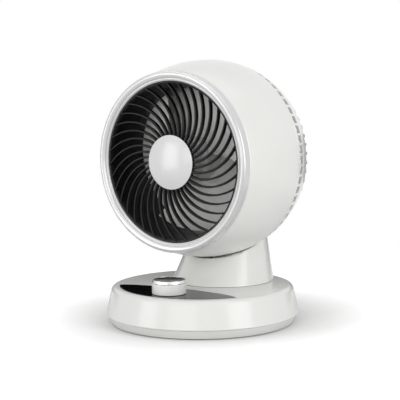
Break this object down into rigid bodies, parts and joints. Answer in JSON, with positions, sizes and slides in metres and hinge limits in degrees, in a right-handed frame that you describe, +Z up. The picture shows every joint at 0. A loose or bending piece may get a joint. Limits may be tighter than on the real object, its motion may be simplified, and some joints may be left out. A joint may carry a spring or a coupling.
{
  "type": "air circulator fan",
  "caption": "Desktop air circulator: ball-shaped fan head with a spiral front grille, tilting on a leaning neck that swivels on a round base with a rotary knob.",
  "frame": {"origin": "on the surface it stands on, under the middle of the round base", "axes": "+Z up; the fan blows towards -Y; +X is to the right of a viewer who faces the fan"},
  "size_m": [0.2074, 0.2199, 0.2755],
  "materials": {
    "shell_white": "glossy pearl white",
    "ring_satin": "satin silver-white paint",
    "skirt_grey": "fine satin",
    "grille_black": "satin black",
    "panel_black": "polished black",
    "blade_grey": "glossy grey",
    "bezel_chrome": "polished",
    "knob_metal": "spun",
    "feet_rubber": "matt",
    "steel": "zinc plated",
    "acetal": "natural",
    "winding": "enamelled wire",
    "board_green": "lacquered",
    "switch_body": "moulded"
  },
  "bodies": {
    "base": {"base_cover": "shell_white", "base_plate": "skirt_grey", "foot_1": "feet_rubber", "foot_2": "feet_rubber", "foot_3": "feet_rubber", "foot_4": "feet_rubber", "foot_center": "feet_rubber", "ballast_plate": "steel", "base_screw_1": "steel", "base_screw_2": "steel", "base_screw_3": "steel", "base_screw_4": "steel", "control_panel": "panel_black", "control_board": "board_green", "rotary_switch": "switch_body", "swivel_motor": "steel", "cord_gland": "feet_rubber", "swivel_bearing_ring": "acetal"},
    "knob": {"knob": "shell_white", "knob_bezel": "bezel_chrome", "knob_cap": "knob_metal", "switch_shaft": "steel"},
    "pinion": {"swivel_pinion": "acetal"},
    "neck": {"neck_shell": "shell_white", "tilt_saddle": "shell_white", "neck_turntable": "acetal", "swivel_gear": "acetal", "swivel_retainer": "steel", "neck_screw_1": "steel", "neck_screw_2": "steel", "neck_screw_3": "steel", "neck_screw_4": "steel"},
    "head": {"head_shell": "shell_white", "front_ring": "ring_satin", "spiral_grille": "grille_black", "hub_cap": "shell_white", "air_duct": "grille_black", "rear_grille": "shell_white", "duct_screw_1": "steel", "duct_screw_2": "steel", "duct_screw_3": "steel", "rear_screw_1": "steel", "rear_screw_2": "steel", "rear_screw_3": "steel", "tilt_bracket": "steel", "tilt_bolt": "steel", "tilt_washer": "acetal", "tilt_spring": "steel", "tilt_nut": "steel", "motor_spider": "grille_black", "motor_end_cap": "steel", "motor_can": "steel", "motor_stator": "winding", "motor_bearing_front": "steel", "motor_bearing_rear": "steel"},
    "impeller": {"impeller": "blade_grey", "impeller_nut": "steel", "motor_shaft": "steel", "motor_rotor": "steel"}
  },
  "joints": [
    {"name": "knob_turn", "type": "hinge", "parent": "base", "child": "knob", "pos_m": [0.0039, -0.0628, 0.0453], "axis": [0, 0, 1], "range_deg": [-270, 0]},
    {"name": "neck_swivel", "type": "hinge", "parent": "base", "child": "neck", "pos_m": [0, 0.0383, 0.0392], "axis": [0, 0, 1], "range_deg": [-40, 40]},
    {"name": "pinion_spin", "type": "hinge", "parent": "base", "child": "pinion", "pos_m": [0, 0.0008, 0.0323], "axis": [0, 0, 1], "range_deg": [-165, 165]},
    {"name": "head_tilt", "type": "hinge", "parent": "neck", "child": "head", "pos_m": [0, 0.0143, 0.1718], "axis": [-1, 0, 0], "range_deg": [-10, 22]},
    {"name": "impeller_spin", "type": "hinge", "parent": "head", "child": "impeller", "pos_m": [0, 0.0143, 0.1718], "axis": [0, -1, 0], "continuous": true}
  ],
  "couplings": [
    {"joint": "pinion_spin", "follows": "neck_swivel", "ratio": -4}
  ]
}
